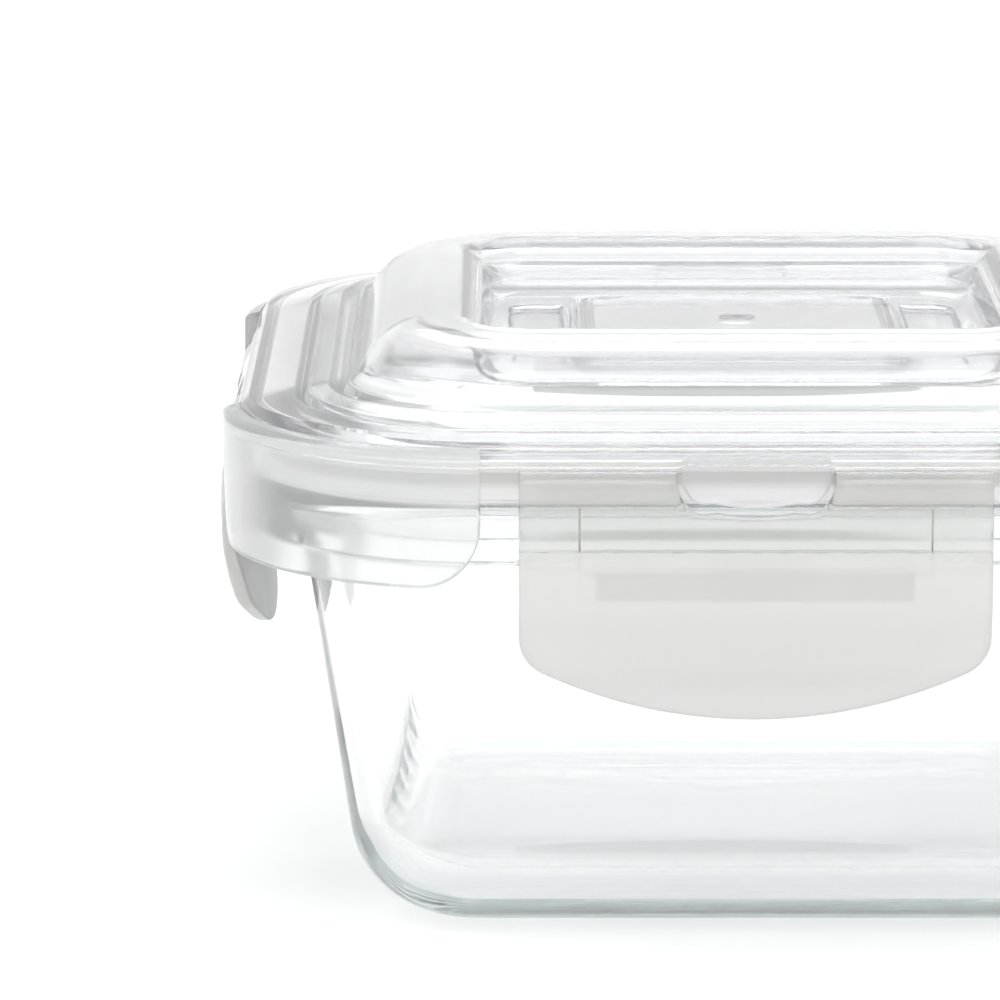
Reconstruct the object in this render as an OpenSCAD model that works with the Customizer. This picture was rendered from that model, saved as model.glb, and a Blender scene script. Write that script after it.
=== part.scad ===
// Square glass food container with a clear snap lid: a tapered glass bowl with a rim bead, a silicone
// gasket, and one moulded lid whose four flaps swing on living hinges and catch under the bead.
// The base stands on Z = 0, the middle of the container is X = Y = 0, and the front is -Y.

/* [Plan] */
// Width across the corner guards
lid_w = 122; // [120:0.5:126]
// Plan radius of a corner guard's outer face
corner_r = 30.1; // [29:0.1:31]

/* [Bowl] */
// Height of the glass bowl to the top of its rim
bowl_h = 53.5; // [52.6:0.1:54.1]
// Thickness of the glass wall
wall_t = 3.6; // [3.2:0.1:4]
// Thickness of the glass base
base_t = 4.6; // [4:0.1:5.5]
// Radius of the heel between the base and the wall
heel_r = 12; // [10:0.5:13]
// Lean of the wall from upright, in degrees
wall_lean = 8.7; // [8:0.1:9.4]
// Height of the rim bead
bead_h = 6.6; // [6.2:0.1:6.8]
// Radius of the bead's top outer edge
bead_r = 2.4; // [1.5:0.1:3]

/* [Lid] */
// Height of the stacking ring's crest above the base
lid_top = 70; // [69.1:0.1:71.1]
// Thickness of the lid's skin
skin_t = 1.6; // [1.4:0.1:1.8]
// Half-width of the recess inside the stacking ring
recess_half = 30.6; // [30:0.1:32]
// Half-width of the raised panel in the recess
panel_half = 19.3; // [16:0.1:22]
// How far the corner guards hang below the lid's band
guard_drop = 13.8; // [11:0.1:14]

/* [Flaps] */
// Half-width of a flap
flap_half = 26.6; // [24:0.1:28]
// Height of a flap's lowest point above the base
flap_low = 29.1; // [27.6:0.1:33.6]
// Thickness of a flap's upper part
flap_t = 1.45; // [1.3:0.05:1.5]
// How far the lower panel bulges at the middle
bulge = 0.9; // [0.6:0.1:1]
// Half-length of the catch rib
catch_half = 17.8; // [14:0.1:19]
// Gap between the catch rib and the bead
catch_gap = 0.35; // [0.3:0.05:0.5]

/* [Hidden] */
$fn = 72;

// Turns that carry a rear side, or a rear left corner, to the other three
at_rear = 0;
at_left = 90;
at_front = 180;
at_right = 270;

half = lid_w / 2;
corner_c = half - corner_r;          // distance of each plan corner's centre from the middle

// Bowl
bead_half = half - 4.3;              // outer face of the bead
bead_low = bowl_h - bead_h;          // underside of the bead
wall_mid = 46.8;                     // outer half-width of the wall at height wall_mid_z
wall_mid_z = 13.7;
function wall_out(z) = wall_mid + (z - wall_mid_z) * tan(wall_lean);
function wall_in(z) = wall_out(z) - wall_t;
heel_c = wall_out(heel_r) - heel_r / cos(wall_lean);
heel_in_r = heel_r - 2.5;
heel_in_c = wall_in(base_t + heel_in_r) - heel_in_r / cos(wall_lean);
lip_r = 1.6;                         // rounding of the rim's inner edge
bead_low_r = 0.9;                    // rounding of the bead's lower edge
neck_r = 1.8;                        // fillet between the wall and the bead

// Lid
band_half = half - 1.7;              // outer face of the band between the guards
band_top = bowl_h + 7.2;
band_low = bowl_h + 5.1;
shoulder_r = 64;                     // gentle arch of the shoulder, in section
shoulder_x = 37.1;
shoulder_z = band_top - 60.1;
crest_r = 8;                         // section radius of the stacking ring's outer side
crest_half = 37.4;                   // half-width of the ring's crest
ring_c = corner_c - 6.9;             // plan corner centre of the ring's outer side
floor_z = lid_top - 6.4;             // top face of the recess
panel_z = floor_z + 1.9;             // top face of the raised panel
panel_r = 4;
recess_c = recess_half - 3.5;        // plan corner centre of the recess
floor_half = recess_half - 2.4;      // where the recess floor meets its cove
cove_r = 2.1;                        // section radius of the cove round the recess floor
lip_in_r = 3.2;                      // section radius of the crest's inner edge
pocket_deep = 0.6;                   // shallow pockets either side of the raised panel
plug_out = wall_in(bowl_h) - 1.5;    // outer face of the wall that plugs the bowl's mouth
plug_low = bowl_h - 5.4;
seat_in = 51.9;                      // gasket channel, inner and outer face
seat_out = 56.2;
seat_top = bowl_h + 5.6;
channel_low = bowl_h + 0.35;
roof_in = floor_z - 1.6;             // underside of the skin beside the plug wall
roof_out = floor_z - 2.4;            // and beside the channel's inner wall
wall_root = floor_z - 0.7;           // how far up the plug wall runs into the skin

// Flaps
hinge_half = band_half + 0.1;        // axis of the living hinge
hinge_z = bowl_h + 4.8;
flap_top = bowl_h + 4.5;
flap_out = half + 0.15;              // outer face of a flap's upper part
inner_face = flap_out - flap_t;
inner_top = 58.15;                   // inner edge of a flap at its hinge
step_z = bowl_h - 5.7;               // top edge of the bulged lower panel
belly_facets = 720;                  // facets round the large cylinder that shapes the bulge
corner_side_r = 5;                   // rounding of a flap's lower corners
sweep_r = 52;                        // radius of a flap's lower edge
// Height of a lower corner's centre, and the angle at which its arc runs into the lower edge
corner_side_z = flap_low + sweep_r
    - sqrt(pow(sweep_r - corner_side_r, 2) - pow(flap_half - corner_side_r, 2));
sweep_turn = atan2(corner_side_z - flap_low - sweep_r, flap_half - corner_side_r);
tongue_half = 8.4;                   // thumb stop between the two lengths of hinge
tongue_low = bowl_h + 0.7;
notch_gap = 0.5;
notch_low = hinge_z - 4.95;
pocket_half = 19.9;
pocket_top = bowl_h + 0.8;
pocket_d = 0.45;
catch_top = bead_low - catch_gap;
catch_reach = bead_half - 1.4;       // how far in the catch rib's tip reaches
catch_h = 3;

// Points along an arc about (cx, cy), from angle a0 to a1
function arc(cx, cy, r, a0, a1, n) =
    [for (i = [0:n]) [cx + r * cos(a0 + (a1 - a0) * i / n), cy + r * sin(a0 + (a1 - a0) * i / n)]];

// Carries a profile of (half-width, height) points round the rounded square whose corner centres are at c
module ring(profile, c) {
    for (q = [0:3]) rotate([0, 0, 90 * q]) {
        translate([c, c, 0]) rotate_extrude(angle = 90)
            polygon([for (p = profile) [p[0] - c, p[1]]]);
        translate([0, c, 0]) rotate([90, 0, 0]) linear_extrude(2 * c) polygon(profile);
    }
}

// A filled rounded square: edge is the profile's free side from its low end to its high end
module slab(edge, c) {
    low = edge[0][1];
    high = edge[len(edge) - 1][1];
    ring(concat([[c, low]], edge, [[c, high]]), c);
    translate([-c, -c, low]) cube([2 * c, 2 * c, high - low]);
}

// A profile of (half-width, height) points carried straight along the rear side, for |X| up to half_length
module along_side(profile, half_length) {
    translate([-half_length, 0, 0]) rotate([90, 0, 90]) linear_extrude(2 * half_length) polygon(profile);
}

// An outline of (X, height) points carried through the rear side from half-width near to far
module through_side(outline, near, far) {
    translate([0, far, 0]) rotate([90, 0, 0]) linear_extrude(far - near) polygon(outline);
}

module glass_bowl() {
    outer = concat(
        arc(heel_c, heel_r, heel_r, -90, -wall_lean, 10),
        [[wall_out(bead_low - neck_r), bead_low - neck_r],
         [wall_out(bead_low) + 0.5, bead_low - 0.5],
         [wall_out(bead_low) + neck_r, bead_low]],
        arc(bead_half - bead_low_r, bead_low + bead_low_r, bead_low_r, -90, 0, 4),
        arc(bead_half - bead_r, bowl_h - bead_r, bead_r, 0, 90, 6));
    inner = concat(
        arc(heel_in_c, base_t + heel_in_r, heel_in_r, -90, -wall_lean, 8),
        [[wall_in(bowl_h - lip_r), bowl_h - lip_r],
         [wall_in(bowl_h) + 0.45, bowl_h - 0.45],
         [wall_in(bowl_h) + lip_r, bowl_h],
         [wall_in(bowl_h) + lip_r, bowl_h + 1]]);
    base_dish = [[heel_c - 6, -1], [heel_c - 6, 0], [heel_c - 7, 0.6]];
    color([0.86, 0.92, 0.91, 0.45]) difference() {
        slab(outer, corner_c);
        slab(inner, corner_c);
        slab(base_dish, heel_c - 12);
    }
}

module silicone_gasket() {
    low = bowl_h + 0.05;
    mid = (seat_in + seat_out) / 2;
    profile = [[seat_in + 0.5, low], [seat_out - 0.5, low], [seat_out - 0.1, low + 0.8],
               [mid + 1.2, low + 2.4], [seat_out - 0.05, low + 4], [seat_out - 0.05, seat_top],
               [seat_in + 0.05, seat_top], [seat_in + 0.05, low + 4], [mid - 1.2, low + 2.4],
               [seat_in + 0.1, low + 0.8]];
    color([0.93, 0.93, 0.9, 0.85]) ring(profile, corner_c);
}

// The lid's outer side, from the band's lower edge over the arched shoulder to under the stacking ring
function shoulder_edge() = concat(
    [[band_half, band_low], [band_half, band_top - 0.5], [band_half - 0.35, band_top + 0.1]],
    arc(shoulder_x, shoulder_z, shoulder_r, 71, 87, 9));

// Outer side of the stacking ring, its skin taken off by t, from an angle above level up to the crest
function ring_edge(t, start) = arc(crest_half, lid_top - crest_r, crest_r - t, start, 90, 8);

module lid_shell() {
    cove = concat([[floor_half, floor_z]],
                  arc(floor_half - 0.2, floor_z + cove_r, cove_r, -80, -20, 5),
                  [[recess_half, lid_top - 3]],
                  arc(recess_half + lip_in_r + 0.1, lid_top - lip_in_r - 0.1, lip_in_r, 165, 100, 5),
                  [[recess_half + 5.4, lid_top + 1]]);
    difference() {
        union() {
            slab(shoulder_edge(), corner_c);
            slab(ring_edge(0, 5), ring_c);
        }
        slab(cove, floor_half - 3.6);
        // hollow inside the plug wall
        slab([[plug_out - skin_t, band_low - 1], [plug_out - skin_t, floor_z - skin_t]], corner_c);
        // hollow under the stacking ring
        difference() {
            slab(concat([[plug_out - skin_t, floor_z - skin_t - 1], [plug_out - skin_t, floor_z - 1.3],
                         [crest_half + 6.3, floor_z - 0.7]], ring_edge(skin_t, 20)), ring_c);
            slab([[recess_half + skin_t, floor_z - skin_t - 2],
                  [recess_half + skin_t, lid_top - skin_t - 1.4],
                  [recess_half + skin_t + 1.6, lid_top]], recess_c);
        }
    }
}

// Walls that hang into the bowl's mouth and round the gasket
module lid_walls() {
    ring([[plug_out - skin_t, wall_root], [plug_out - skin_t, plug_low + 0.4],
          [plug_out - skin_t + 0.4, plug_low], [plug_out - 0.8, plug_low], [plug_out - 0.4, plug_low + 1.4],
          [plug_out, bowl_h], [plug_out, wall_root]], corner_c);
    ring([[seat_in - 1.2, wall_root - 0.8], [seat_in - 1.2, channel_low + 0.6], [seat_in, channel_low],
          [seat_in, wall_root - 0.8]], corner_c);
    ring([[seat_out, band_low + 1], [seat_out, channel_low], [seat_out + 1.5, channel_low + 0.4],
          [seat_out + 1.5, band_low + 1]], corner_c);
}

// Thumb stop that hangs in the notch of each flap
module tongue() {
    through = concat(
        [[tongue_half, band_top - 0.6], [-tongue_half, band_top - 0.6]],
        [[-tongue_half, tongue_low + 3.6]],
        arc(-tongue_half + 3.4, tongue_low + 3.6, 3.4, 186, 250, 5),
        arc(0, tongue_low + 22, 22, 258, 282, 6),
        arc(tongue_half - 3.4, tongue_low + 3.6, 3.4, -70, -6, 5),
        [[tongue_half, tongue_low + 3.6]]);
    intersection() {
        along_side([[band_half - 0.6, band_top - 0.6], [band_half - 0.6, band_low],
                    [band_half - 0.1, band_low - 2], [band_half + 0.3, tongue_low - 1],
                    [band_half + 1.5, tongue_low - 1], [band_half + 1.2, band_low - 1.8],
                    [band_half + 0.5, band_low + 0.4], [band_half, band_top - 0.7]], tongue_half + 1);
        through_side(through, band_half - 3, band_half + 3);
    }
}

module lid_cover() {
    panel = [[panel_half + 1.1, floor_z - skin_t], [panel_half + 1, floor_z],
             [panel_half + 0.3, panel_z - 0.4], [panel_half - 0.3, panel_z]];
    pocket_edge = [[floor_half - 0.5, floor_z - pocket_deep], [floor_half - 0.1, floor_z + 0.1]];
    under = [[panel_half - 1.2, floor_z - skin_t - 1], [panel_half - 1.4, panel_z - skin_t]];
    color([0.93, 0.94, 0.95, 0.5]) difference() {
        union() {
            difference() {
                lid_shell();
                // gasket channel and the hollows either side of its inner wall
                ring([[plug_out - 0.01, band_low - 1], [half + 1, band_low - 1], [half + 1, band_low],
                      [seat_out, band_low], [seat_out, seat_top], [seat_in, seat_top],
                      [seat_in - 1.2, roof_out], [plug_out - 0.01, roof_in]], corner_c);
                intersection() {
                    slab(pocket_edge, floor_half - 3.6);
                    translate([-half, -panel_half - 0.7, 0]) cube([lid_w, 2 * panel_half + 1.4, lid_top]);
                }
            }
            lid_walls();
            slab(panel, panel_half - panel_r);
            for (q = [at_rear, at_left, at_front, at_right]) rotate([0, 0, q]) tongue();
        }
        slab(under, panel_half - panel_r);
        // moulding gate dimple
        translate([0, 0, panel_z - 0.5]) cylinder(h = 1, d1 = 3.6, d2 = 6);
    }
}

// One quarter of skirt round the rear left corner, its lower ends rounded
module guard(turn) {
    guard_low = band_low - guard_drop;
    end_r = 7.4;
    profile = [[band_half, band_low], [band_half, band_top - 0.5], [band_half - 0.35, band_top + 0.1],
               [band_half + 0.6, band_top - 0.05], [half - 0.5, band_top - 0.5], [half - 0.12, band_top - 1],
               [half, band_top - 1.6], [half, band_low - 2], [half - 0.35, guard_low],
               [half - 1.65, guard_low], [half - 1.6, band_low - 0.6]];
    ends = concat([[corner_c - 1, guard_low - 1], [corner_c + end_r, guard_low - 1]],
                  arc(corner_c + end_r, guard_low + end_r, end_r, 270, 180, 8),
                  [[corner_c - 1, guard_low + end_r]]);
    color([0.9, 0.92, 0.92, 0.7]) rotate([0, 0, turn]) difference() {
        translate([-corner_c, corner_c, 0]) rotate([0, 0, 90]) rotate_extrude(angle = 90)
            polygon([for (p = profile) [p[0] - corner_c, p[1]]]);
        mirror([1, 0, 0]) through_side(ends, half - 8, half + 1);
        rotate([0, 0, 90]) through_side(ends, half - 8, half + 1);
    }
}

// Two lengths of thin web, one each side of the thumb stop
module hinge(turn) {
    color([0.97, 0.97, 1, 0.6]) rotate([0, 0, turn]) for (side = [0, 1]) mirror([side, 0, 0])
        translate([tongue_half + notch_gap, 0, 0]) rotate([90, 0, 90])
            linear_extrude(flap_half - tongue_half - notch_gap)
                polygon([[band_half - 0.4, band_low], [band_half, band_low],
                         [hinge_half + 0.1, flap_top], [hinge_half - 0.3, flap_top]]);
}

// Front-view outline of a flap, from its hinge edge round its rounded lower end
function flap_outline() = concat(
    [[-flap_half, flap_top]],
    arc(-flap_half + corner_side_r, corner_side_z, corner_side_r, 180, 180 - sweep_turn, 6),
    arc(0, flap_low + sweep_r, sweep_r, -180 - sweep_turn, sweep_turn, 14),
    arc(flap_half - corner_side_r, corner_side_z, corner_side_r, sweep_turn, 0, 6),
    [[flap_half, flap_top]]);

// Outer side of a flap below its step, pushed out by d
function lower_side(d) = [
    [flap_out + 0.15 + d, step_z], [flap_out + 0.35 + d, step_z - 2.8], [flap_out + 0.15 + d, step_z - 5.8],
    [flap_out - 0.5 + d * 0.9, step_z - 9], [flap_out - 1.3 + d * 0.7, step_z - 12],
    [flap_out - 2.7 + d * 0.3, step_z - 15.2], [flap_out - 4.2, flap_low - 1]];
// Inner side of a flap, from its lower end up to its hinge edge
function inner_side() = [
    [flap_out - 5.4, flap_low - 1], [flap_out - 4.4, step_z - 15.2], [flap_out - 3.2, step_z - 12],
    [flap_out - 2.4, step_z - 9], [inner_face, step_z - 5.8], [inner_face, flap_top - 2.8],
    [inner_top, flap_top]];

module flap(turn) {
    upper = [[hinge_half + 0.1, flap_top], [flap_out - 0.85, flap_top - 0.6],
             [flap_out - 0.25, flap_top - 1.8], [flap_out, step_z + 4.8], [flap_out, step_z + 1.3]];
    belly_r = (pow(flap_half - 2, 2) + bulge * bulge) / (2 * bulge);
    notch = concat([[-tongue_half - notch_gap, flap_top + 1], [-tongue_half - notch_gap, notch_low + 4]],
                   arc(-tongue_half - notch_gap + 4, notch_low + 4, 4, 180, 250, 5),
                   arc(0, notch_low + 24, 24, 260, 280, 6),
                   arc(tongue_half + notch_gap - 4, notch_low + 4, 4, -70, 0, 5),
                   [[tongue_half + notch_gap, flap_top + 1]]);
    color([0.88, 0.88, 0.87, 0.8]) rotate([0, 0, turn]) difference() {
        intersection() {
            union() {
                along_side(concat(upper, lower_side(0), inner_side()), flap_half);
                intersection() {
                    along_side(concat([[flap_out - 0.4, step_z + 1.3]], lower_side(bulge),
                                      [[flap_out - 4.7, flap_low - 1], [flap_out - 3.4, step_z - 15.2],
                                       [flap_out - 2.1, step_z - 12], [flap_out - 1.3, step_z - 9],
                                       [flap_out - 0.6, step_z - 5.8]]), flap_half);
                    translate([0, flap_out + 0.35 + bulge - belly_r, flap_low - 2])
                        cylinder(r = belly_r, h = 30, $fn = belly_facets);
                }
            }
            through_side(flap_outline(), half - 8, half + 4);
        }
        through_side(notch, half - 8, half + 4);
        translate([-pocket_half, inner_face - 1, catch_top])
            cube([2 * pocket_half, 1 + pocket_d, pocket_top - catch_top]);
    }
}

// Rib that hooks under the bead, cut lower over its middle third
module catch(turn) {
    low = catch_top - catch_h;
    color([0.82, 0.83, 0.86, 0.85]) rotate([0, 0, turn]) difference() {
        along_side([[inner_face, low], [inner_face, catch_top], [catch_reach + 0.3, catch_top],
                    [catch_reach, catch_top - 0.3], [catch_reach, catch_top - 1.3],
                    [inner_face - 1, low]], catch_half);
        translate([-catch_half / 3, catch_reach + 1.5, low + 1])
            cube([2 * catch_half / 3, inner_face - catch_reach - 2.5, catch_h]);
    }
}

glass_bowl();
silicone_gasket();
lid_cover();
guard(at_left);  // guard_front_left
guard(at_front);  // guard_front_right
guard(at_right);  // guard_rear_right
guard(at_rear);  // guard_rear_left
hinge(at_front);  // hinge_front
hinge(at_right);  // hinge_right
hinge(at_rear);  // hinge_rear
hinge(at_left);  // hinge_left
flap(at_front);  // flap_front
flap(at_right);  // flap_right
flap(at_rear);  // flap_rear
flap(at_left);  // flap_left
catch(at_front);  // catch_front
catch(at_right);  // catch_right
catch(at_rear);  // catch_rear
catch(at_left);  // catch_left
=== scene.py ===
"""Looks of a square snap lid food container: pressed glass bowl, silicone gasket and one clear moulded
lid with frosted corner guards and four flaps on living hinges. Lengths are in millimetres until a mesh
is made."""

import math

import bmesh
import bpy
import numpy as np
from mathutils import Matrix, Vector
from mathutils.geometry import delaunay_2d_cdt


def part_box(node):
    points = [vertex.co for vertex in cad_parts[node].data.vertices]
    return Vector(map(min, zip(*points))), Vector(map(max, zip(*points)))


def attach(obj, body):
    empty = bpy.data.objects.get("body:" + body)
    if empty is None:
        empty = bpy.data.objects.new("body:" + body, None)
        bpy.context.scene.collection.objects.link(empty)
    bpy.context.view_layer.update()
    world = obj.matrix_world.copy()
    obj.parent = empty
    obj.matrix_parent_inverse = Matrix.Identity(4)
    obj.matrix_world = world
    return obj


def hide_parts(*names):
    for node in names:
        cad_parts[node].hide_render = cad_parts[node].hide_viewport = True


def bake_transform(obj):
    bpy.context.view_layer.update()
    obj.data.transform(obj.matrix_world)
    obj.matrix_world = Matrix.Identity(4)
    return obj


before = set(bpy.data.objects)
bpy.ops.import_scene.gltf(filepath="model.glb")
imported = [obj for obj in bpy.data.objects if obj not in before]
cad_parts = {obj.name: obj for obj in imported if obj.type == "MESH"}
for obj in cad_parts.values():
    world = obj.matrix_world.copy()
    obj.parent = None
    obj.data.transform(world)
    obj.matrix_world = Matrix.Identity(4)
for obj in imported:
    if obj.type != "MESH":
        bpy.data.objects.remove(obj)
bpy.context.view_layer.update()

MM = 0.001
AIR = 0.03  # gap left between two see-through pieces that touch

# ---------------------------------------------------------------- dimensions, some read from the CAD nodes of model.glb


def node_box(name):
    """Lowest and highest corner of a CAD node, in millimetres."""
    low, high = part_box(name)
    return np.array(low) / MM, np.array(high) / MM


bowl_box = node_box("glass_bowl")
lid_box = node_box("lid_cover")
guard_box = node_box("guard_rear_left")
flap_box = node_box("flap_rear")
hinge_box = node_box("hinge_rear")
catch_box = node_box("catch_rear")

half = guard_box[1][1]  # outer face of the corner guards
corner_c = half - 30.1  # plan corner centre
bead_half, bowl_h = bowl_box[1][0], bowl_box[1][2]
lid_top = lid_box[1][2]
guard_low = guard_box[0][2]

# Bowl
wall_lean = math.radians(8.7)
wall_mid, wall_mid_z = 46.8, 13.7  # a point on the outer face of the wall
base_t, wall_t = 4.6, 3.6
heel_r, heel_in_r = 12.0, 9.5
dish_d = 0.15
bead_low = bowl_h - 6.6


def wall_out(z):
    """Outer face of the wall at height z."""
    return wall_mid + (z - wall_mid_z) * math.tan(wall_lean)


def wall_in(z):
    """Inner face of the wall at height z."""
    return wall_out(z) - wall_t


heel_c = wall_out(heel_r) - heel_r / math.cos(wall_lean)
heel_in_c = wall_in(base_t + heel_in_r) - heel_in_r / math.cos(wall_lean)

# Lid
skin_t = 1.6
band_half = half - 1.7
band_top, band_low = bowl_h + 7.2, hinge_box[1][2]
shoulder_r, shoulder_x, shoulder_z = 64.0, 37.1, band_top - 60.1
crest_half, crest_r = 37.4, 8.0
ring_c = corner_c - 6.9
recess_half, recess_c = 30.6, 24.6
lip_in_r = 3.2
floor_z, floor_half = lid_top - 6.4, recess_half - 3.4
cove_r, cove_x = 2.1, recess_half - 2.6  # the cove round the recess floor, and its centre
panel_half, panel_z, panel_c = 19.3, floor_z + 1.9, 15.3
plug_out, plug_low = wall_in(bowl_h) - 1.5, bowl_h - 5.4
seat_in, seat_out, seat_top = 51.9, 56.2, bowl_h + 5.6
channel_low = bowl_h + 0.35

# Flaps
hinge_half, hinge_z = band_half + 0.1, (band_low + hinge_box[0][2]) / 2
flap_half, flap_low, flap_top = flap_box[1][0], flap_box[0][2], flap_box[1][2]
flap_out = half + 0.15
inner_face = flap_out - 1.45
step_z = bowl_h - 5.7
bulge = flap_box[1][1] - flap_out - 0.35
tongue_half, tongue_low = 8.4, bowl_h + 0.7
notch_half, notch_low = tongue_half + 0.5, hinge_z - 4.95
ledge_h, ledge_flat, ledge_end, ledge_lip = 1.5, 18.5, 25.0, 0.25
pocket_half, pocket_top, pocket_d = 19.9, bowl_h + 0.8, 0.45
catch_half, catch_low, catch_top = catch_box[1][0], catch_box[0][2], catch_box[1][2]
catch_reach = bead_half - 1.4

SIDES = {"rear": 0, "left": 90, "front": 180, "right": 270}  # turns that carry a rear piece to each side
CORNERS = {"rear_left": 0, "front_left": 90, "front_right": 180, "rear_right": 270}

# ---------------------------------------------------------------- outlines and profiles


def arc(cx, cy, r, start, end, steps):
    """Points along an arc, its angles in degrees."""
    turn = np.radians(np.linspace(start, end, steps + 1))
    return [(cx + r * math.cos(a), cy + r * math.sin(a)) for a in turn]


def softened(points, steps=5, closed=False):
    """A path of (a, b, r, ...) points with each corner rounded to about r, which is cut to fit its sides.
    What follows r in a point goes with it unchanged."""
    path = []
    count = len(points)
    for i, p in enumerate(points):
        here, r, rest = np.array(p[:2], float), p[2], tuple(p[3:])
        if r <= 0 or (not closed and i in (0, count - 1)):
            path.append((*here, *rest))
            continue
        before = np.array(points[i - 1][:2], float) - here
        after = np.array(points[(i + 1) % count][:2], float) - here
        side_a, side_b = np.linalg.norm(before), np.linalg.norm(after)
        before, after = before / side_a, after / side_b
        bend = math.acos(max(-1, min(1, float(before @ after))))
        if bend > math.pi - 0.01:
            path.append((*here, *rest))
            continue
        reach = min(r / math.tan(bend / 2), 0.48 * side_a, 0.48 * side_b)
        fit = reach * math.tan(bend / 2)
        middle = here + (before + after) / np.linalg.norm(before + after) * fit / math.sin(bend / 2)
        start, end = here + before * reach - middle, here + after * reach - middle
        sweep = math.pi - bend
        for k in range(steps + 1):
            a = sweep * k / steps
            turn = (start * math.sin(sweep - a) + end * math.sin(a)) / math.sin(sweep)
            path.append((*(middle + turn), *rest))
    return path


# ---------------------------------------------------------------- mesh tools

ARC_STEPS = 32  # facets round each plan corner


def plan_loop(half_width, c):
    """Points round a rounded square, its corner centres at c and its height left at 0."""
    turn = np.radians(np.linspace(0, 90, ARC_STEPS + 1))
    corner = np.stack([c + (half_width - c) * np.cos(turn), c + (half_width - c) * np.sin(turn)], 1)
    loop = [corner @ np.array([[math.cos(q), math.sin(q)], [-math.sin(q), math.cos(q)]])
            for q in np.radians([0, 90, 180, 270])]
    flat = np.concatenate(loop)
    return np.column_stack([flat, np.zeros(len(flat))])


def level_loop(half_width, z, c):
    """The same rounded square at height z."""
    loop = plan_loop(half_width, c)
    loop[:, 2] = z
    return loop


def lofted(loops, wrap=False):
    """Vertices and faces of the skin through loops of equal length. wrap joins the last loop to the first;
    otherwise the two end loops are filled."""
    count, size = len(loops), len(loops[0])
    faces = []
    for i in range(count if wrap else count - 1):
        a, b = i * size, (i + 1) % count * size
        for k in range(size):
            n = (k + 1) % size
            faces.append((a + k, a + n, b + n, b + k))
    if not wrap:
        faces.append(tuple(reversed(range(size))))
        faces.append(tuple(range((count - 1) * size, count * size)))
    return np.concatenate(loops), faces


def make_mesh(name, verts, faces, turn=0):
    """A closed mesh from points in millimetres, turned about Z by whole degrees."""
    a = math.radians(turn)
    verts = np.asarray(verts, float) * MM
    spun = verts.copy()
    spun[:, 0] = verts[:, 0] * math.cos(a) - verts[:, 1] * math.sin(a)
    spun[:, 1] = verts[:, 0] * math.sin(a) + verts[:, 1] * math.cos(a)
    mesh = bpy.data.meshes.new(name)
    mesh.from_pydata([tuple(v) for v in spun], [], faces)
    obj = bpy.data.objects.new(name, mesh)
    bpy.context.scene.collection.objects.link(obj)
    tidy(obj)
    return obj


def tidy(obj):
    """Welds, drops flat slivers and turns every face outwards."""
    bm = bmesh.new()
    bm.from_mesh(obj.data)
    bmesh.ops.remove_doubles(bm, verts=bm.verts, dist=1e-6)
    bmesh.ops.dissolve_degenerate(bm, dist=1e-7, edges=bm.edges)
    bmesh.ops.recalc_face_normals(bm, faces=bm.faces)
    if bm.calc_volume(signed=True) < 0:
        bmesh.ops.reverse_faces(bm, faces=bm.faces)
    bm.to_mesh(obj.data)
    bm.free()


def shaded(obj, sharp=35):
    """Smooth shading whose normals follow the larger faces, with edges over sharp degrees left crisp."""
    for p in obj.data.polygons:
        p.use_smooth = True
    obj.data.set_sharp_from_angle(angle=math.radians(sharp))
    weighted = obj.modifiers.new("Normals", "WEIGHTED_NORMAL")
    weighted.keep_sharp = True
    weighted.weight = 60
    return obj


def cut_or_join(obj, tool, operation):
    """Applies a boolean of obj with tool, and removes tool."""
    mod = obj.modifiers.new("Join", "BOOLEAN")
    mod.operation = operation
    mod.object = tool
    mod.solver = "EXACT"
    dg = bpy.context.evaluated_depsgraph_get()
    done = bpy.data.meshes.new_from_object(obj.evaluated_get(dg), depsgraph=dg)
    obj.modifiers.remove(mod)
    obj.data = done
    bpy.data.objects.remove(tool)
    return obj


def joined(name, parts, turn=0):
    """One object from several lists of vertices and faces."""
    verts, faces, base = [], [], 0
    for v, f in parts:
        verts.append(np.asarray(v, float))
        faces.extend(tuple(i + base for i in face) for face in f)
        base += len(v)
    return make_mesh(name, np.concatenate(verts), faces, turn)


def turned(verts, degrees):
    """Points turned about Z."""
    a = math.radians(degrees)
    verts = np.asarray(verts, float)
    x, y = verts[:, 0], verts[:, 1]
    across = x * math.cos(a) - y * math.sin(a)
    along = x * math.sin(a) + y * math.cos(a)
    return np.column_stack([across, along, verts[:, 2]])


def spaced(points, step):
    """A closed outline with extra points, so that none is further than step from the next."""
    out = []
    for i, p in enumerate(points):
        p, q = np.array(p, float), np.array(points[(i + 1) % len(points)], float)
        parts = max(1, math.ceil(np.linalg.norm(q - p) / step))
        out.extend(p + (q - p) * k / parts for k in range(parts))
    return np.array(out)


def inset(outline, d):
    """An anticlockwise outline moved inwards by d."""
    before, after = np.roll(outline, 1, 0), np.roll(outline, -1, 0)
    a = (outline - before) / np.linalg.norm(outline - before, axis=1, keepdims=True)
    b = (after - outline) / np.linalg.norm(after - outline, axis=1, keepdims=True)
    normal = np.column_stack([-(a + b)[:, 1], (a + b)[:, 0]])
    normal /= np.linalg.norm(normal, axis=1, keepdims=True)
    stretch = 1 / np.clip((normal * np.column_stack([-a[:, 1], a[:, 0]])).sum(1), 0.5, 1)
    return outline + normal * (d * stretch)[:, None]


def inside(points, outline):
    """Which points lie inside a closed outline."""
    x, y = points[:, 0], points[:, 1]
    within = np.zeros(len(points), bool)
    for (x1, y1), (x2, y2) in zip(outline, np.roll(outline, -1, 0)):
        if y1 != y2:
            within ^= ((y1 > y) != (y2 > y)) & (x < (x2 - x1) * (y - y1) / (y2 - y1) + x1)
    return within


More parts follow.
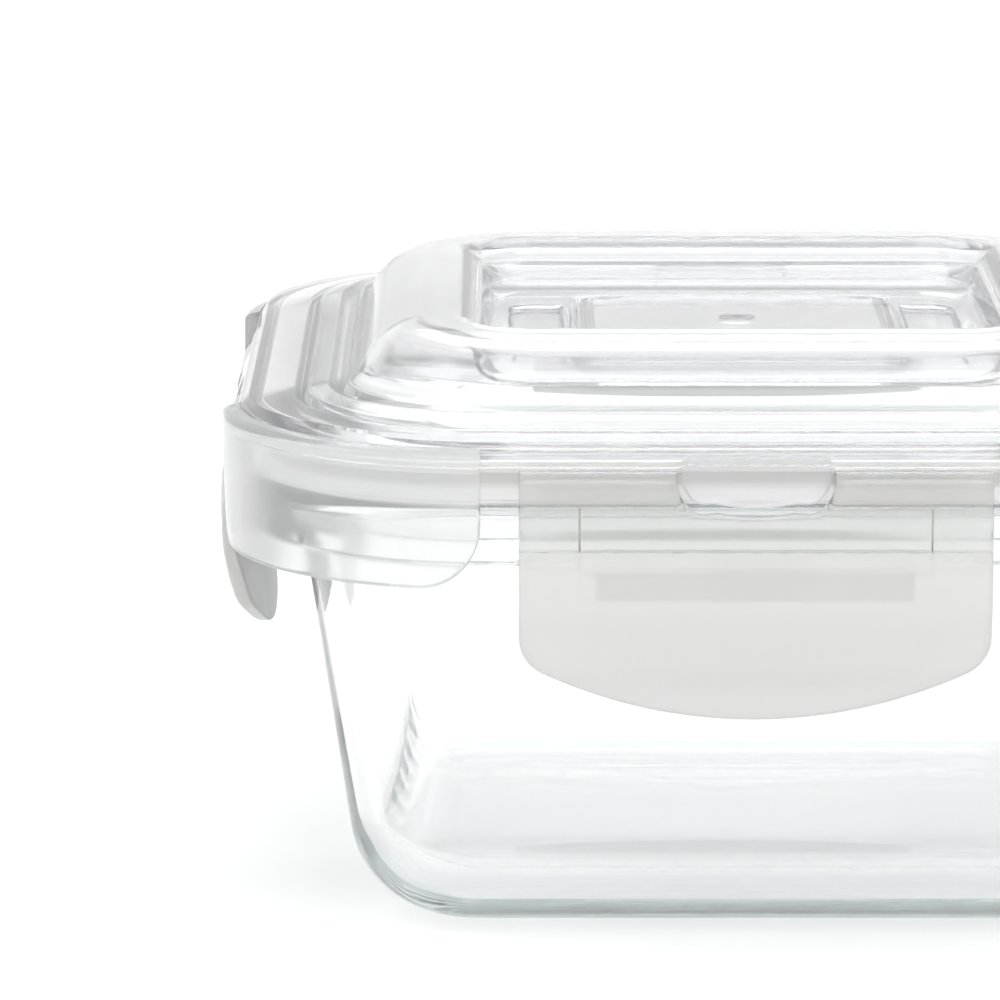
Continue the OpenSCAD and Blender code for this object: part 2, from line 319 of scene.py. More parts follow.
def moulded_plate(outline, outer, inner, edge, columns, rows):
    """A closed moulding on the rear side. outline is its (X, Z) loop, anticlockwise. outer and inner give
    Y of its two faces at (X, Z). edge is the radius of its rim, and columns and rows are where it is
    divided."""
    ease = [edge * (1 - math.cos(math.radians(a))) for a in (0, 22.5, 45, 67.5, 90)]
    loops = [inset(outline, d) for d in ease]
    grid = np.array([(x, z) for x in columns for z in rows])
    clear = inset(outline, edge + 0.35)
    grid = grid[inside(grid, clear)]
    rim = loops[-1]
    size = len(rim)
    edges = [(i, (i + 1) % size) for i in range(size)]
    points = [Vector(p) for p in np.concatenate([rim, grid])]
    flat, _, tris, *_ = delaunay_2d_cdt(points, edges, [list(range(size))], 1, 1e-6)
    flat = np.array([tuple(p) for p in flat])
    if len(flat) != size + len(grid):
        raise ValueError("the outline's rim crosses itself or a grid point lies on it")
    steps = len(loops) - 1
    faces, verts = [], []
    for side, face in enumerate((outer, inner)):
        sign = -1 if side == 0 else 1
        base = side * (steps * size + len(flat))
        for d, loop in zip(ease[:-1], loops[:-1]):
            drop = edge - math.sqrt(max(edge**2 - (edge - d) ** 2, 0))
            x, z = loop[:, 0], loop[:, 1]
            verts.append(np.column_stack([x, face(x, z) + sign * drop, z]))
        verts.append(np.column_stack([flat[:, 0], face(flat[:, 0], flat[:, 1]), flat[:, 1]]))
        for j in range(steps):
            for k in range(size):
                n = (k + 1) % size
                a, b = base + j * size, base + (j + 1) * size
                faces.append((a + k, a + n, b + n, b + k))
        top = base + steps * size
        faces.extend(tuple(top + i for i in tri) for tri in tris)
    other = steps * size + len(flat)
    faces.extend((k, (k + 1) % size, other + (k + 1) % size, other + k) for k in range(size))
    return np.concatenate(verts), faces


# ---------------------------------------------------------------- materials


class Nodes:
    """Short calls to lay out a material's nodes."""

    def __init__(self, name):
        self.material = bpy.data.materials.new(name)
        self.material.use_nodes = True
        self.tree = self.material.node_tree
        self.tree.nodes.clear()
        self.output = self.add("ShaderNodeOutputMaterial")

    def add(self, kind, **values):
        """A new node, with settings and socket values given by name."""
        node = self.tree.nodes.new(kind)
        for key, value in values.items():
            if hasattr(node, key):
                setattr(node, key, value)
            else:
                node.inputs[key.replace("_", " ")].default_value = value
        return node

    def link(self, a, b):
        self.tree.links.new(a, b)

    def place(self):
        """The piece's own coordinates, which stay with it as it moves."""
        return self.add("ShaderNodeTexCoord").outputs["Object"]

    def noise(self, scale, detail=4.0, roughness=0.5, stretch=(1, 1, 1)):
        """Noise from 0 to 1 that stays with the piece."""
        mapping = self.add("ShaderNodeMapping")
        mapping.inputs["Scale"].default_value = stretch
        texture = self.add("ShaderNodeTexNoise", Scale=scale, Detail=detail, Roughness=roughness)
        self.link(self.place(), mapping.inputs["Vector"])
        self.link(mapping.outputs[0], texture.inputs["Vector"])
        return texture.outputs["Fac"]

    def ranged(self, value, low, high, start=0.0, end=1.0):
        """A value that runs from low to high as the given one runs from start to end."""
        node = self.add("ShaderNodeMapRange")
        for key, number in (("From Min", start), ("From Max", end), ("To Min", low), ("To Max", high)):
            node.inputs[key].default_value = number
        self.link(value, node.inputs["Value"])
        return node.outputs["Result"]

    def bump(self, value, strength, distance, under=None):
        """A relief, which may lie over another one."""
        node = self.add("ShaderNodeBump", Strength=strength, Distance=distance)
        self.link(value, node.inputs["Height"])
        if under is not None:
            self.link(under, node.inputs["Normal"])
        return node.outputs["Normal"]

    def lit_through(self, shader, tint):
        """Lets lamps shine through the surface, since the renderer's light sampling stops at glass."""
        path = self.add("ShaderNodeLightPath")
        clear = self.add("ShaderNodeBsdfTransparent")
        clear.inputs["Color"].default_value = (*tint, 1)
        mix = self.add("ShaderNodeMixShader")
        self.link(path.outputs["Is Shadow Ray"], mix.inputs[0])
        self.link(shader, mix.inputs[1])
        self.link(clear.outputs[0], mix.inputs[2])
        self.link(mix.outputs[0], self.output.inputs["Surface"])

    def absorb(self, colour, density):
        """Tints light by how far it goes through the piece."""
        volume = self.add("ShaderNodeVolumeAbsorption", Density=density)
        volume.inputs["Color"].default_value = (*colour, 1)
        self.link(volume.outputs[0], self.output.inputs["Volume"])


def glass_material():
    """Pressed soda-lime glass: faint mould waviness, a grey-green body and a few dull smears."""
    m = Nodes("pressed_glass")
    body = m.add("ShaderNodeBsdfPrincipled", Base_Color=(0.995, 1.0, 0.998, 1), IOR=1.52)
    body.inputs["Transmission Weight"].default_value = 1.0
    wave = m.bump(m.noise(28, 2.0, stretch=(1, 1, 0.5)), 0.07, 0.0005)
    fine = m.bump(m.noise(260, 3.0), 0.03, 0.0001, wave)
    m.link(fine, body.inputs["Normal"])
    m.link(m.ranged(m.noise(60, 5.0, 0.6), 0.0, 0.035, 0.45, 0.8), body.inputs["Roughness"])
    m.absorb((0.64, 0.69, 0.68), 17.0)
    m.lit_through(body.outputs[0], (0.985, 0.99, 0.99))
    return m.material


def clear_material():
    """Clear polypropylene: cool grey, slightly hazy, with soft flow lines from the gate outwards."""
    m = Nodes("clear_polypropylene")
    body = m.add("ShaderNodeBsdfPrincipled", Base_Color=(0.995, 0.995, 1.0, 1), IOR=1.46)
    body.inputs["Transmission Weight"].default_value = 0.94
    flow = m.bump(m.noise(30, 2.0, stretch=(1, 1, 2)), 0.015, 0.0004)
    m.link(m.bump(m.noise(900, 2.0), 0.012, 0.00004, flow), body.inputs["Normal"])
    m.link(m.ranged(m.noise(120, 4.0), 0.05, 0.09, 0.35, 0.75), body.inputs["Roughness"])
    m.absorb((0.82, 0.82, 0.87), 5.0)
    m.lit_through(body.outputs[0], (0.985, 0.985, 0.99))
    return m.material


def frosted_material():
    """Frosted polypropylene of the corner guards: a fine spark-eroded grain on milky plastic."""
    m = Nodes("frosted_polypropylene")
    body = m.add("ShaderNodeBsdfPrincipled", Base_Color=(0.955, 0.96, 0.96, 1), IOR=1.46)
    body.inputs["Transmission Weight"].default_value = 0.84
    grain = m.bump(m.noise(2600, 3.0, 0.6), 0.10, 0.00004)
    m.link(m.bump(m.noise(30, 2.0), 0.03, 0.0004, grain), body.inputs["Normal"])
    m.link(m.ranged(m.noise(500, 4.0), 0.13, 0.17, 0.3, 0.75), body.inputs["Roughness"])
    m.lit_through(body.outputs[0], (0.96, 0.965, 0.965))
    return m.material


def flap_material():
    """Milky polypropylene of the flaps: satin above the step, more matt on the finger panel below it."""
    m = Nodes("milky_polypropylene")
    body = m.add("ShaderNodeBsdfPrincipled", Base_Color=(0.83, 0.83, 0.822, 1), IOR=1.46)
    height = m.add("ShaderNodeSeparateXYZ")
    m.link(m.place(), height.inputs[0])
    ledge_z = step_z + ledge_h
    matt = m.ranged(height.outputs["Z"], 1.0, 0.0, (ledge_z - 0.2) * MM, (ledge_z + 0.2) * MM)
    rough = m.add("ShaderNodeMath", operation="MULTIPLY_ADD")
    m.link(matt, rough.inputs[0])
    rough.inputs[1].default_value = 0.24
    m.link(m.ranged(m.noise(420, 4.0), 0.14, 0.22, 0.3, 0.75), rough.inputs[2])
    m.link(rough.outputs[0], body.inputs["Roughness"])
    m.link(m.ranged(matt, 0.86, 0.5), body.inputs["Transmission Weight"])
    grain = m.bump(m.noise(2200, 3.0, 0.6), 0.12, 0.00004)
    m.link(m.bump(m.noise(46, 2.0), 0.03, 0.0004, grain), body.inputs["Normal"])
    m.lit_through(body.outputs[0], (0.95, 0.95, 0.948))
    return m.material


def silicone_material():
    """Soft white silicone with a dusty bloom."""
    m = Nodes("white_silicone")
    body = m.add("ShaderNodeBsdfPrincipled", Roughness=0.46, IOR=1.41)
    body.inputs["Subsurface Weight"].default_value = 0.35
    body.inputs["Subsurface Radius"].default_value = (0.004, 0.004, 0.0035)
    body.inputs["Subsurface Scale"].default_value = 0.5
    ramp = m.add("ShaderNodeValToRGB")
    ramp.color_ramp.elements[0].color = (0.86, 0.86, 0.84, 1)
    ramp.color_ramp.elements[1].color = (0.93, 0.93, 0.92, 1)
    m.link(m.noise(160, 5.0), ramp.inputs["Fac"])
    m.link(ramp.outputs["Color"], body.inputs["Base Color"])
    m.link(m.bump(m.noise(1500, 3.0), 0.15, 0.00005), body.inputs["Normal"])
    m.link(body.outputs[0], m.output.inputs["Surface"])
    return m.material


def floor_material():
    """Matt white studio sweep."""
    m = Nodes("studio_sweep")
    body = m.add("ShaderNodeBsdfPrincipled", Base_Color=(0.96, 0.96, 0.96, 1), Roughness=0.9)
    body.inputs["Specular IOR Level"].default_value = 0.1
    m.link(m.bump(m.noise(300, 3.0), 0.05, 0.0002), body.inputs["Normal"])
    m.link(body.outputs[0], m.output.inputs["Surface"])
    return m.material


def cloth_material():
    """Dull dark grey cloth of a studio flag."""
    m = Nodes("studio_flag")
    body = m.add("ShaderNodeBsdfPrincipled", Base_Color=(0.22, 0.23, 0.23, 1), Roughness=1.0)
    m.link(body.outputs[0], m.output.inputs["Surface"])
    return m.material


def finish_piece(obj, body, material, nodes):
    """Gives a piece its material and its body, and hides the CAD nodes that it stands for."""
    obj.data.materials.clear()
    obj.data.materials.append(material)
    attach(obj, body)
    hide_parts(*nodes)
    return obj


# ---------------------------------------------------------------- the pieces


def build_bowl():
    """Glass bowl, from the middle of its underside round the rim to the middle of its floor."""
    c = corner_c
    dish_c = heel_c - 12
    path = [(heel_c - 24, dish_d, 0, 2), (heel_c - 17, dish_d, 0, 7), (heel_c - 5, 0, 400, dish_c),
            (heel_c - 0.8, 0, 0, c)]
    path += [(*p, 0, c) for p in arc(heel_c, heel_r, heel_r, -90, -math.degrees(wall_lean), 20)]
    path += [(wall_out(bead_low), bead_low, 1.8, c), (bead_half, bead_low, 0.9, c),
             (bead_half, bowl_h, 2.4, c), (wall_in(bowl_h), bowl_h, 1.6, c)]
    path += [(*p, 0, c) for p in arc(heel_in_c, base_t + heel_in_r, heel_in_r,
                                     -math.degrees(wall_lean), -90, 18)]
    path += [(heel_in_c - 3, base_t, 0, heel_in_c - 9)]
    loops = [level_loop(*p) for p in softened(path, 8)]
    return shaded(make_mesh("glass_bowl_body", *lofted(loops)))


def build_gasket():
    """Closed ring, waisted between the foot on the rim and the part that the lid's channel holds."""
    low, mid = bowl_h + 0.05, (seat_in + seat_out) / 2
    top = seat_top - AIR
    path = [(seat_in + 0.5, low, 0.4), (seat_out - 0.5, low, 0.4), (seat_out - 0.1, low + 0.8, 0.3),
            (mid + 1.2, low + 2.4, 0.9), (seat_out - 0.07, low + 4, 0.3), (seat_out - 0.07, top, 0.2),
            (seat_in + 0.07, top, 0.2), (seat_in + 0.07, low + 4, 0.3), (mid - 1.2, low + 2.4, 0.9),
            (seat_in + 0.1, low + 0.8, 0.3)]
    loops = [level_loop(p[0], p[1], corner_c) for p in softened(path, 5, closed=True)]
    return shaded(make_mesh("gasket_ring", *lofted(loops, wrap=True)))


def height_over(loop, outer_c, x0, z0, r):
    """Height at each point of a loop on a surface whose section is an arc about (x0, z0)."""
    over = np.abs(loop[:, :2])
    away = np.hypot(np.maximum(over[:, 0] - outer_c, 0), np.maximum(over[:, 1] - outer_c, 0)) + outer_c
    away = np.where(over.min(1) > outer_c, away, np.maximum(over[:, 0], over[:, 1]))
    return z0 + np.sqrt(np.maximum(r**2 - np.maximum(away - x0, 0) ** 2, 0))


def blended_top(a, b, k):
    """The higher of two heights, with a rounded valley of about k where they meet."""
    near = np.maximum(k - np.abs(a - b), 0) / k
    return np.maximum(a, b) + near**2 * k / 4


def lid_outside():
    """Loops over the lid's outer side, from the foot of its band to the middle of its raised panel."""
    c = corner_c
    band = softened([(band_half, band_low, 0.2), (band_half, band_top - 0.5, 0.35),
                     (band_half - 0.35, band_top + 0.1, 0.3), (band_half - 2, band_top + 0.72, 0)], 4)
    loops = [level_loop(p[0], p[1], c) for p in band[:-1]]
    outer, inner = plan_loop(band_half - 1.4, c), plan_loop(crest_half + 0.2, ring_c)
    foot = 0.62  # share of the way in from the band to the crest at which the stacking ring begins
    shares = np.concatenate([np.linspace(0, foot - 0.1, 12), np.linspace(foot - 0.07, foot + 0.1, 12),
                             np.linspace(foot + 0.12, 1, 16)])
    valley = 1.4
    for share in shares:
        loop = outer + (inner - outer) * share
        shoulder = height_over(loop, c, shoulder_x, shoulder_z, shoulder_r)
        ring = height_over(loop, ring_c, crest_half, lid_top - crest_r, crest_r)
        loop[:, 2] = blended_top(shoulder, ring, valley)
        loops.append(loop)
    rc = recess_c
    lip_x = recess_half + lip_in_r + 0.1
    inward = [(crest_half - 0.6, lid_top, 0, ring_c), (recess_half + 3.8, lid_top, 0, rc)]
    inward += [(*p, 0, rc) for p in arc(lip_x, lid_top - lip_in_r, lip_in_r, 92, 168, 9)]
    inward += [(*p, 0, rc) for p in arc(cove_x, floor_z + cove_r, cove_r, -14, -88, 9)]
    inward += [(floor_half, floor_z, 0, rc), (panel_half + 1.7, floor_z, 0, panel_c + 0.4),
               (panel_half + 1.0, floor_z, 0.35, panel_c), (panel_half + 0.35, panel_z, 0.7, panel_c),
               (panel_half - 2, panel_z, 0, panel_c - 1), (panel_half - 8, panel_z, 0, panel_c - 6)]
    return loops + [level_loop(*p) for p in softened(inward, 5)]


def lid_inside():
    """Loops under the lid, from the foot of its band round the channel and plug wall to the middle."""
    c = corner_c
    path = [(band_half - 0.4, band_low, 0, c), (seat_out + 1.5, band_low, 0.25, c),
            (seat_out + 1.5, channel_low + 0.4, 0.4, c), (seat_out, channel_low, 0.3, c),
            (seat_out, seat_top, 0.25, c), (seat_in, seat_top, 0.25, c), (seat_in, channel_low, 0.25, c),
            (seat_in - 1.2, channel_low + 0.6, 0.4, c), (seat_in - 1.2, floor_z - 2.4, 0.6, c),
            (plug_out, floor_z - 1.6, 0.6, c), (plug_out, bowl_h, 1.0, c),
            (plug_out - 0.4, plug_low + 1.4, 0.6, c), (plug_out - 0.8, plug_low, 0.3, c),
            (plug_out - skin_t, plug_low, 0.35, c), (plug_out - skin_t, floor_z - 1.5, 1.0, c),
            (crest_half + 6.2, floor_z - 0.6, 1.0, ring_c + 1)]
    path += [(*p, 0, ring_c) for p in arc(crest_half, lid_top - crest_r, crest_r - skin_t, 20, 84, 12)]
    under = lid_top - skin_t
    path += [(crest_half - 1, under, 0, ring_c), (recess_half + 1.25, under, 2.2, recess_c)]
    path += [(*p, 0, recess_c) for p in arc(cove_x, floor_z + cove_r, cove_r + skin_t, -6, -88, 12)]
    path += [(floor_half, floor_z - skin_t, 0, recess_c),
             (panel_half - 1.0, floor_z - skin_t, 0.9, panel_c),
             (panel_half - 1.4, panel_z - skin_t, 0.9, panel_c - 0.4),
             (panel_half - 4, panel_z - skin_t, 0, panel_c - 3),
             (panel_half - 8, panel_z - skin_t, 0, panel_c - 6)]
    return [level_loop(*p) for p in softened(path, 5)]


def tongue_parts():
    """Thumb stop that hangs from the band in the notch of a flap, on the rear side."""
    corner_r, sweep_r = 3.4, 22
    top, side_low = band_top - 0.75, tongue_low + 3.6
    outline = [(tongue_half, top), (-tongue_half, top), (-tongue_half, side_low)]
    outline += arc(-tongue_half + corner_r, side_low, corner_r, 186, 250, 8)
    outline += arc(0, tongue_low + sweep_r, sweep_r, 258, 282, 12)
    outline += arc(tongue_half - corner_r, side_low, corner_r, -70, -6, 8)
    outline += [(tongue_half, side_low)]
    outer_side = softened([(tongue_low - 1, band_half + 1.5, 0), (band_low - 1.8, band_half + 1.2, 2),
                           (band_low + 0.4, band_half + 0.5, 1.5), (band_top - 0.7, band_half - 0.02, 0)], 6)
    inner_side = softened([(tongue_low - 1, band_half + 0.3, 0), (band_low - 2, band_half - 0.1, 2),
                           (band_low, band_half - 0.6, 0), (band_top, band_half - 0.6, 0)], 6)
    outer_side, inner_side = np.array(outer_side), np.array(inner_side)

    def outer_at(x, z):
        return np.interp(z, outer_side[:, 0], outer_side[:, 1])

    def inner_at(x, z):
        return np.interp(z, inner_side[:, 0], inner_side[:, 1])

    columns, rows = np.arange(-8, 8.1, 1.0), np.arange(tongue_low, band_top, 0.4)
    return moulded_plate(spaced(outline, 0.7), outer_at, inner_at, 0.3, columns, rows)


def build_lid():
    """The cover, the sinks each side of its panel, its gate dimple and its four thumb stops."""
    loops = list(reversed(lid_outside())) + lid_inside()
    lid = make_mesh("lid_cover_shell", *lofted(loops))
    near, far, sink_half = panel_half + 1.5, recess_half - 2.9, 19.8
    sink = softened([(near, -sink_half, 1.2), (far, -sink_half, 2.5),
                     (far, sink_half, 2.5), (near, sink_half, 1.2)], 5, closed=True)
    levels = [(0.75, floor_z - 0.6), (0.45, floor_z - 0.56), (0.25, floor_z - 0.4), (-0.2, floor_z + 0.4)]
    cuts = []
    for side in (-1, 1):
        flat = np.array(sink) * (side, 1)
        if side < 0:
            flat = flat[::-1]
        rings = [np.column_stack([inset(flat, d), np.full(len(flat), z)]) for d, z in levels]
        cuts.append(lofted(rings))
    turn = np.radians(np.arange(0, 360, 7.5))
    section = [(0.9, panel_z - 0.42), (1.5, panel_z - 0.38), (2.0, panel_z - 0.2), (2.9, panel_z + 0.3)]
    dimple = [np.column_stack([r * np.cos(turn), r * np.sin(turn), np.full(len(turn), z)])
              for r, z in section]
    cuts.append(lofted(dimple))
    cut_or_join(lid, joined("lid_cutter", cuts), "DIFFERENCE")
    verts, faces = tongue_parts()
    tongues = [(turned(verts, turn), faces) for turn in SIDES.values()]
    cut_or_join(lid, joined("lid_tongues", tongues), "UNION")
    tidy(lid)
    return shaded(lid)


def build_guard(name, turn):
    """Frosted skirt round one corner, its lower ends rounded off."""
    c, end_r, edge, lean = corner_c, 7.4, 0.45, 0.35
    reach, lean_top = half - c, band_low - 3
    stations = np.concatenate([[0, 0.1, 0.3, 0.6, 1.0], np.linspace(1.8, 88.2, 56),
                               [89, 89.4, 89.7, 89.9, 90]])
    rows = []
    tip = (band_half - 0.35 + AIR, band_top + 0.13, 0)
    inner_top = softened([tip, (band_half + AIR, band_top - 0.45, 0.3), (band_half + AIR, band_low, 0.3),
                          (half - 1.6, band_low - 0.6, 0.4), (half - 1.62, lean_top, 0)], 3)
    outer_top = softened([tip, (band_half + 0.6, band_top - 0.05, 0.6), (half, band_top - 0.5, 1.8),
                          (half, lean_top, 0)], 8)
    for angle in stations:
        a = math.radians(angle)
        end = min(angle, 90 - angle) * math.pi / 180 * reach
        thin = edge - math.sqrt(max(edge**2 - (edge - min(end, edge)) ** 2, 0))
        low = guard_low
        for run in (reach * math.sin(a), reach * math.cos(a)):
            if run < end_r:
                low = max(low, guard_low + end_r - math.sqrt(end_r**2 - (end_r - run) ** 2))
        outer = [(x - thin, z) for x, z in outer_top]
        heights = np.linspace(lean_top - 0.5, low + edge, 10)
        back = lean * (lean_top - heights) / (lean_top - guard_low)
        outer += [(half - d - thin, z) for d, z in zip(back, heights)]
        rim = [(half - back[-1] - thin - edge * (1 - math.cos(t)), low + edge * (1 - math.sin(t)))
               for t in np.radians((22.5, 45, 67.5, 90))]
        far = half - 1.65
        rim += [(far + thin + edge * (1 - math.sin(t)), low + edge * (1 - math.cos(t)))
                for t in np.radians((0, 22.5, 45, 67.5))]
        inner = [(far + thin, z) for z in heights[::-1]]
        inner += [(x + thin, z) for x, z in reversed(inner_top[1:])]
        section = np.array(outer + rim + inner)
        direction = math.pi / 2 + a
        rows.append(np.column_stack([-c + (section[:, 0] - c) * math.cos(direction),
                                     c + (section[:, 0] - c) * math.sin(direction), section[:, 1]]))
    verts, faces = lofted(rows)
    return shaded(make_mesh(name, verts, faces, turn))


def flap_outline():
    """(X, Z) loop of a flap with its notch, anticlockwise as seen with X to the right and Z up."""
    side_r, sweep_r, tab_r = 5.0, 52.0, 0.6
    notch_r, notch_sweep_r = 4, 24
    side_z = flap_low + sweep_r - math.sqrt((sweep_r - side_r) ** 2 - (flap_half - side_r) ** 2)
    turn = math.degrees(math.atan2(side_z - flap_low - sweep_r, flap_half - side_r))
    loop = arc(-flap_half + side_r, side_z, side_r, 180, 180 - turn, 14)
    loop += arc(0, flap_low + sweep_r, sweep_r, 180 - turn, 360 + turn, 64)[1:-1]
    loop += arc(flap_half - side_r, side_z, side_r, turn, 0, 14)
    loop += arc(flap_half - tab_r, flap_top - tab_r, tab_r, 0, 90, 4)
    loop += arc(notch_half + tab_r, flap_top - tab_r, tab_r, 90, 180, 4)
    loop += arc(notch_half - notch_r, notch_low + notch_r, notch_r, 0, -70, 9)
    loop += arc(0, notch_low + notch_sweep_r, notch_sweep_r, 280, 260, 12)
    loop += arc(-notch_half + notch_r, notch_low + notch_r, notch_r, 250, 180, 9)
    loop += arc(-notch_half - tab_r, flap_top - tab_r, tab_r, 0, 90, 4)
    loop += arc(-flap_half + tab_r, flap_top - tab_r, tab_r, 90, 180, 4)
    return spaced(loop, 0.8)


def flap_faces():
    """Two functions that give Y of a flap's outer and inner face at (X, Z)."""
    upper = [(flap_top + 0.2, hinge_half, 0), (flap_top - 0.6, flap_out - 0.85, 1.2),
             (flap_top - 1.8, flap_out - 0.25, 3), (step_z + 4.8, flap_out, 6), (step_z - 6, flap_out, 0)]
    lower = [(step_z + 3, flap_out + 0.15, 1, 1), (step_z - 2.8, flap_out + 0.35, 8, 1),
             (step_z - 5.8, flap_out + 0.15, 8, 1), (step_z - 9, flap_out - 0.5, 8, 0.9),
             (step_z - 12, flap_out - 1.3, 8, 0.7), (step_z - 15.2, flap_out - 2.7, 8, 0.3),
             (flap_low - 1, flap_out - 4.2, 0, 0)]
    inside_path = [(flap_low - 1, flap_out - 5.4, 0), (step_z - 15.2, flap_out - 4.4, 8),
                   (step_z - 12, flap_out - 3.2, 8), (step_z - 9, flap_out - 2.4, 8),
                   (step_z - 5.8, inner_face, 4), (flap_top - 2.8, inner_face, 2),
                   (flap_top + 0.2, flap_out - 3.1, 0)]
    upper = np.array(softened(upper, 8))[::-1]
    lower = np.array(softened(lower, 8))[::-1]
    inner = np.array(softened(inside_path, 8))

    def outer_at(x, z):
        base = np.interp(z, upper[:, 0], upper[:, 1])
        belly = bulge * np.clip(1 - (x / (flap_half - 2)) ** 2, 0, 1)
        panel = np.interp(z, lower[:, 0], lower[:, 1]) + belly * np.interp(z, lower[:, 0], lower[:, 2])
        height = ledge_h * np.clip((ledge_end - np.abs(x)) / (ledge_end - ledge_flat), 0.12, 1)
        share = np.clip((z - step_z) / height, 0, 1)
        lip = ledge_lip * np.exp(-(((z - step_z - height) / ledge_lip) ** 2)) * (np.abs(x) < ledge_end)
        return panel + (base - panel) * share + lip

    def inner_at(x, z):
        deep = np.clip((pocket_half - np.abs(x)) / 0.25, 0, 1)
        deep = np.minimum(deep, np.clip((pocket_top - z) / 0.25, 0, 1))
        deep = np.minimum(deep, np.clip((z - catch_top) / 0.2, 0, 1))
        return np.interp(z, inner[:, 0], inner[:, 1]) + pocket_d * deep

    return outer_at, inner_at


def build_flap(name, turn):
    """One flap: a satin upper part with a pocket behind it, a step and a bulged finger panel."""
    outer_at, inner_at = flap_faces()
    columns = np.concatenate([np.arange(-25.5, 25.6, 1.5),
                              [-pocket_half, -pocket_half + 0.25, pocket_half - 0.25, pocket_half],
                              [-ledge_end, -ledge_flat, ledge_flat, ledge_end]])
    rows = np.concatenate([np.arange(flap_low, step_z - 1, 1.0), [step_z - 0.15, step_z, step_z + 0.1],
                           np.arange(step_z + 0.3, step_z + 2.2, 0.25),
                           np.arange(step_z + 2.8, flap_top, 0.7),
                           [catch_top, catch_top + 0.2, pocket_top - 0.25, pocket_top, step_z + ledge_h]])
    verts, faces = moulded_plate(flap_outline(), outer_at, inner_at, 0.4,
                                 np.unique(np.round(columns, 3)), np.unique(np.round(rows, 3)))
    return shaded(make_mesh(name, verts, faces, turn), 30)


def build_catch(name, turn):
    """Rib that hooks under the bowl's bead, slotted over its middle third."""
    root = inner_face - AIR
    slot_half, slot_near, slot_far = catch_half / 3, catch_reach + 1.5, inner_face - 1
    slope, flush, slot_d = 0.15, 0.02, 2.0
    stations = [-catch_half, -slot_half - slope, -slot_half + slope,
                slot_half - slope, slot_half + slope, catch_half]
    depth = [flush, flush, slot_d, slot_d, flush, flush]
    rows = []
    for x, down in zip(stations, depth):
        section = [(root, catch_low), (root, catch_top), (slot_far + 0.1, catch_top),
                   (slot_far, catch_top - down), (slot_near, catch_top - down), (slot_near - 0.1, catch_top),
                   (catch_reach + 0.3, catch_top), (catch_reach, catch_top - 0.3),
                   (catch_reach, catch_top - 1.3), (inner_face - 1, catch_low)]
        rows.append(np.array([(x, y, z) for y, z in section]))
    obj = make_mesh(name, *lofted(rows), turn)
    bevel = obj.modifiers.new("Edges", "BEVEL")
    bevel.width = 0.14 * MM
    bevel.segments = 3
    bevel.limit_method = "ANGLE"
    bevel.angle_limit = math.radians(25)
    return shaded(obj)


def build_hinge(name, turn):
    """Two lengths of thin web, waisted along the line they bend on."""
    web_low, web_t, web_waist = hinge_box[0][2], 0.4, 0.07
    heights = np.linspace(band_low - AIR, web_low + AIR, 13)
    parts = []
    for side in (-1, 1):
        near, far = sorted((side * notch_half, side * (flap_half - 0.05)))
        rows = []
        for z in heights:
            share = (band_low - z) / (band_low - web_low)
            waist = web_waist * math.sin(math.pi * share)
            out = band_half + 0.2 * share - waist
            back = out - web_t + 2 * waist
            rows.append(np.array([(near, out, z), (far, out, z), (far, back, z), (near, back, z)]))
        parts.append(lofted(rows))
    return shaded(joined(name, parts, turn))


# ---------------------------------------------------------------- camera, floor and light


def place_camera():
    """Long lens, level with the horizon from side to side and looking down by the pitch."""
    pitch = 0.2017
    data = bpy.data.cameras.new("camera")
    data.sensor_width = 36
    data.lens = 219.35
    data.clip_start = 0.05
    data.clip_end = 50
    camera = bpy.data.objects.new("camera", data)
    camera.location = (-0.0287, -0.7285, 0.1918)
    camera.rotation_euler = (math.pi / 2 - pitch, 0, 0)
    bpy.context.scene.collection.objects.link(camera)
    bpy.context.scene.camera = camera


def sheet(name, width, depth, material, place, turn=(0, 0, 0), divisions=1):
    """A flat studio sheet, as a small grid."""
    mesh = bpy.data.meshes.new(name)
    bm = bmesh.new()
    bmesh.ops.create_grid(bm, x_segments=divisions, y_segments=divisions, size=0.5)
    for v in bm.verts:
        v.co.x *= width
        v.co.y *= depth
    bm.to_mesh(mesh)
    bm.free()
    obj = bpy.data.objects.new(name, mesh)
    obj.location, obj.rotation_euler = place, turn
    mesh.materials.append(material)
    bpy.context.scene.collection.objects.link(obj)
    return obj


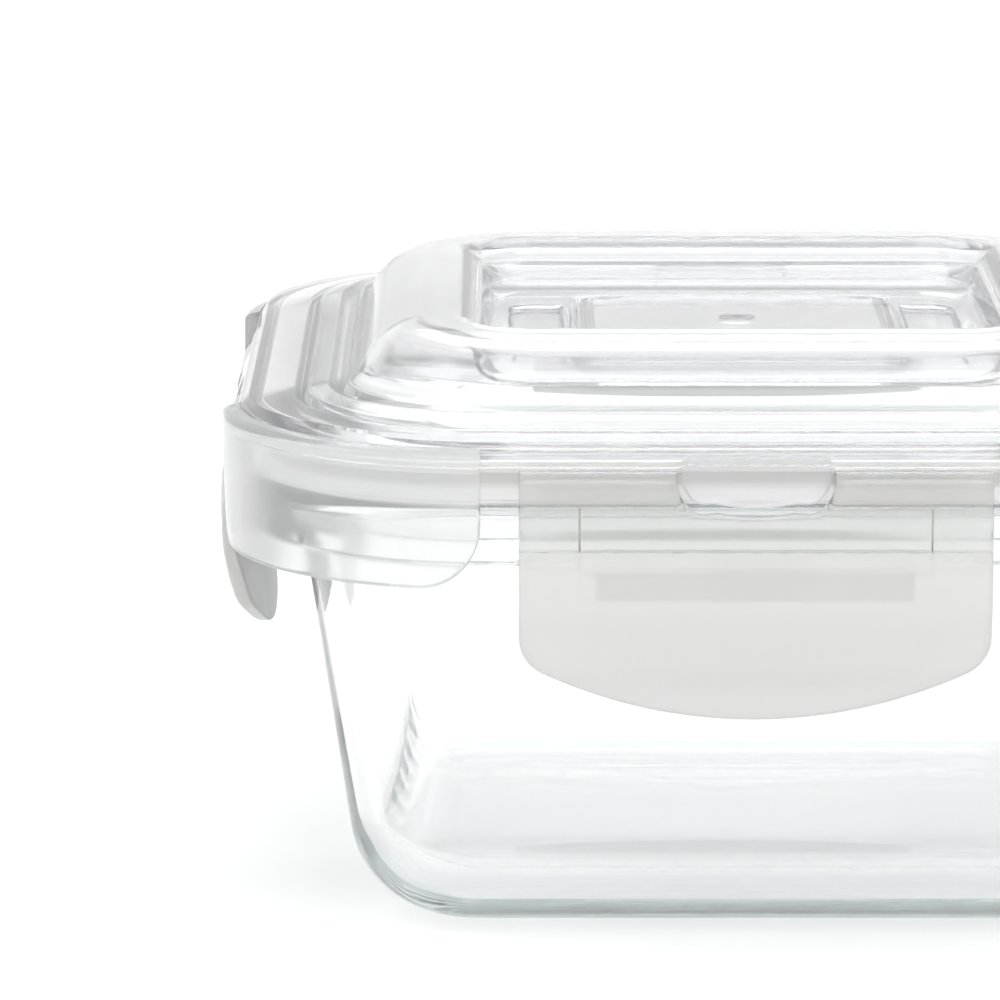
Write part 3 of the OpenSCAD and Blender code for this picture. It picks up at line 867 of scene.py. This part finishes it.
def place_studio():
    """White floor, white surroundings, soft boxes, and dark flags that give clear edges a line."""
    sheet("floor", 12, 12, floor_material(), (0, 0, -0.0001), divisions=4)
    cloth = cloth_material()
    for name, x in (("flag_left", -0.62), ("flag_right", 0.62)):
        flag = sheet(name, 0.16, 0.9, cloth, (x, 0.05, 0.30), (0, math.pi / 2, 0))
        flag.visible_camera = False
        flag.visible_diffuse = False
        flag.visible_shadow = False
    world = bpy.data.worlds.new("studio")
    world.use_nodes = True
    background = world.node_tree.nodes["Background"]
    background.inputs["Color"].default_value = (1, 1, 1, 1)
    background.inputs["Strength"].default_value = 0.95
    world.cycles.sampling_method = "NONE"  # bounced rays find the world, and they pass through glass
    bpy.context.scene.world = world
    lamps = [("strip", (0.05, -0.62, 0.92), 1.1, 0.24, 3.4), ("fill", (-0.75, -0.1, 0.7), 0.5, 0.5, 1.3),
             ("back", (0.1, 0.9, 0.8), 0.9, 0.5, 1.7)]
    for name, place, width, depth, power in lamps:
        data = bpy.data.lights.new(name, "AREA")
        data.shape = "RECTANGLE"
        data.size = width
        data.size_y = depth
        data.energy = power
        lamp = bpy.data.objects.new(name, data)
        lamp.location = place
        lamp.rotation_euler = (Vector((0, 0, 0.03)) - Vector(place)).to_track_quat("-Z", "Y").to_euler()
        bpy.context.scene.collection.objects.link(lamp)


def set_look():
    """Light that may cross many clear walls one behind the other, and light what is behind them."""
    scene = bpy.context.scene
    scene.view_settings.view_transform = "Standard"
    scene.cycles.max_bounces = 40
    scene.cycles.transmission_bounces = 36
    scene.cycles.transparent_max_bounces = 48
    scene.cycles.glossy_bounces = 36
    scene.cycles.diffuse_bounces = 3
    scene.cycles.caustics_refractive = True
    scene.cycles.caustics_reflective = False


# ---------------------------------------------------------------- assembly

place_camera()
place_studio()
set_look()

clear, frosted, milky = clear_material(), frosted_material(), flap_material()
finish_piece(build_bowl(), "bowl", glass_material(), ["glass_bowl"])
finish_piece(build_gasket(), "lid", silicone_material(), ["silicone_gasket"])
finish_piece(build_lid(), "lid", clear, ["lid_cover"])
for corner, turn in CORNERS.items():
    finish_piece(build_guard(f"corner_guard_{corner}", turn), "lid", frosted,
                 [f"guard_{corner}"])
for side, turn in SIDES.items():
    body = f"{side}_flap"
    finish_piece(build_flap(f"snap_flap_{side}", turn), body, milky, [f"flap_{side}"])
    finish_piece(build_catch(f"catch_rib_{side}", turn), body, milky, [f"catch_{side}"])
    web = build_hinge(f"hinge_web_{side}", turn)
    web.data.materials.append(clear)
    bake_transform(web)
    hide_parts(f"hinge_{side}")
